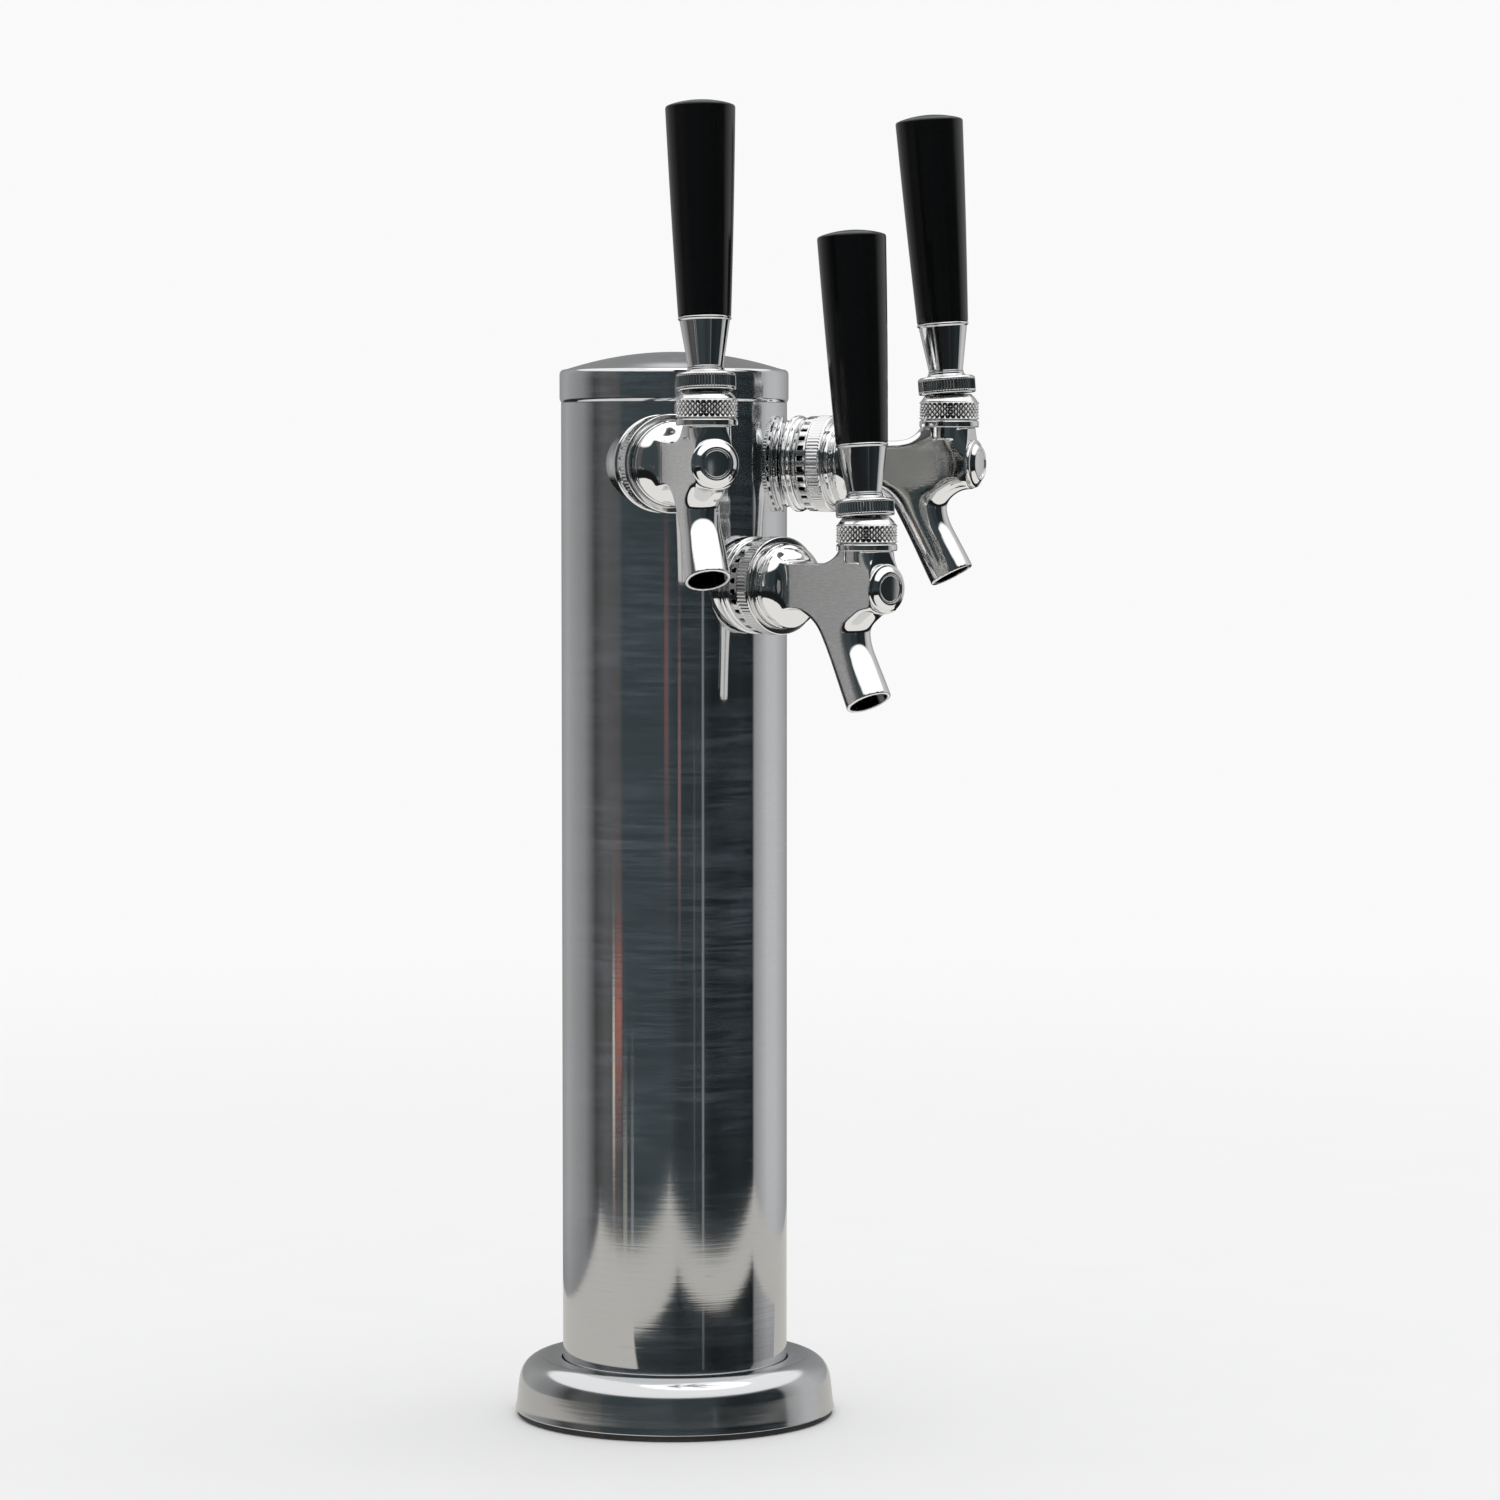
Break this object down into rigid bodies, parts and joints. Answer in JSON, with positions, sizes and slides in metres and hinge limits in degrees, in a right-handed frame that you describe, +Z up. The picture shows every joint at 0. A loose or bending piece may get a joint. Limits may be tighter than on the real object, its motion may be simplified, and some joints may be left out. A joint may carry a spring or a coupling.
{
  "type": "beer tap tower",
  "caption": "Round steel draft beer column with a domed cap, rounded base ring and rear-closing faucets fanned around its front, each with a tapered black handle.",
  "frame": {"origin": "centre of the base underside, on the column axis", "axes": "+Z up along the column, -Y towards the faucets and the drinker's side, +X to the right seen from the back of the handles' travel, so to the right when facing +Y"},
  "size_m": [0.1318, 0.1601, 0.4381],
  "materials": {
    "column_steel": "fine vertical polish",
    "cap_steel": "polished",
    "base_steel": "polished",
    "plate_steel": "plain",
    "faucet_chrome": "bright chrome with satin flats",
    "nut_chrome": "bright chrome",
    "lever_steel": "turned",
    "brass": "turned",
    "rubber": "matte",
    "foam": "closed-cell foam",
    "vinyl": "clear vinyl hose",
    "white_plastic": "moulded",
    "handle_black": "gloss black"
  },
  "bodies": {
    "tower": {"column_tube": "column_steel", "base_ring": "base_steel", "base_plate": "plate_steel", "base_gasket": "rubber", "foam_sleeve": "foam", "inner_saddles": "plate_steel", "shank_nuts": "brass", "shank_gaskets": "rubber", "elbow_tailpieces": "brass", "tail_nuts": "brass", "beer_lines": "vinyl", "hose_clamps": "plate_steel", "ball_seats": "white_plastic", "ball_washers": "white_plastic", "left_collar": "faucet_chrome", "left_wall_flange": "faucet_chrome", "left_shank": "faucet_chrome", "left_coupling_nut": "nut_chrome", "left_body": "faucet_chrome", "left_bonnet": "nut_chrome", "left_front_plug": "nut_chrome", "center_collar": "faucet_chrome", "center_wall_flange": "faucet_chrome", "center_shank": "faucet_chrome", "center_coupling_nut": "nut_chrome", "center_body": "faucet_chrome", "center_bonnet": "nut_chrome", "center_front_plug": "nut_chrome", "right_collar": "faucet_chrome", "right_wall_flange": "faucet_chrome", "right_shank": "faucet_chrome", "right_coupling_nut": "nut_chrome", "right_body": "faucet_chrome", "right_bonnet": "nut_chrome", "right_front_plug": "nut_chrome"},
    "cap": {"top_cap": "cap_steel"},
    "left_handle_set": {"left_lever": "lever_steel", "left_lever_nut": "nut_chrome", "left_ferrule": "faucet_chrome", "left_handle": "handle_black"},
    "left_plunger": {"left_shaft": "plate_steel", "left_seat_washer": "rubber"},
    "center_handle_set": {"center_lever": "lever_steel", "center_lever_nut": "nut_chrome", "center_ferrule": "faucet_chrome", "center_handle": "handle_black"},
    "center_plunger": {"center_shaft": "plate_steel", "center_seat_washer": "rubber"},
    "right_handle_set": {"right_lever": "lever_steel", "right_lever_nut": "nut_chrome", "right_ferrule": "faucet_chrome", "right_handle": "handle_black"},
    "right_plunger": {"right_shaft": "plate_steel", "right_seat_washer": "rubber"}
  },
  "joints": [
    {"name": "cap_lift", "type": "slide", "parent": "tower", "child": "cap", "axis": [0, 0, 1], "range_m": [0, 0.04]},
    {"name": "left_lever_hinge", "type": "hinge", "parent": "tower", "child": "left_handle_set", "pos_m": [-0.05403, -0.07727, 0.3369], "axis": [0.9026, -0.4305, 0], "range_deg": [0, 22]},
    {"name": "left_plunger_slide", "type": "slide", "parent": "tower", "child": "left_plunger", "axis": [0.4305, 0.9026, 0], "range_m": [0, 0.0056]},
    {"name": "center_lever_hinge", "type": "hinge", "parent": "tower", "child": "center_handle_set", "pos_m": [0, -0.0944, 0.2967], "axis": [1, 0, 0], "range_deg": [0, 22]},
    {"name": "center_plunger_slide", "type": "slide", "parent": "tower", "child": "center_plunger", "axis": [0, 1, 0], "range_m": [0, 0.0056]},
    {"name": "right_lever_hinge", "type": "hinge", "parent": "tower", "child": "right_handle_set", "pos_m": [0.05403, -0.07727, 0.3369], "axis": [0.9026, 0.4305, 0], "range_deg": [0, 22]},
    {"name": "right_plunger_slide", "type": "slide", "parent": "tower", "child": "right_plunger", "axis": [-0.4305, 0.9026, 0], "range_m": [0, 0.0056]}
  ],
  "couplings": [
    {"joint": "left_plunger_slide", "follows": "left_lever_hinge", "m_per_rad": 0.014311},
    {"joint": "center_plunger_slide", "follows": "center_lever_hinge", "m_per_rad": 0.014311},
    {"joint": "right_plunger_slide", "follows": "right_lever_hinge", "m_per_rad": 0.014311}
  ]
}
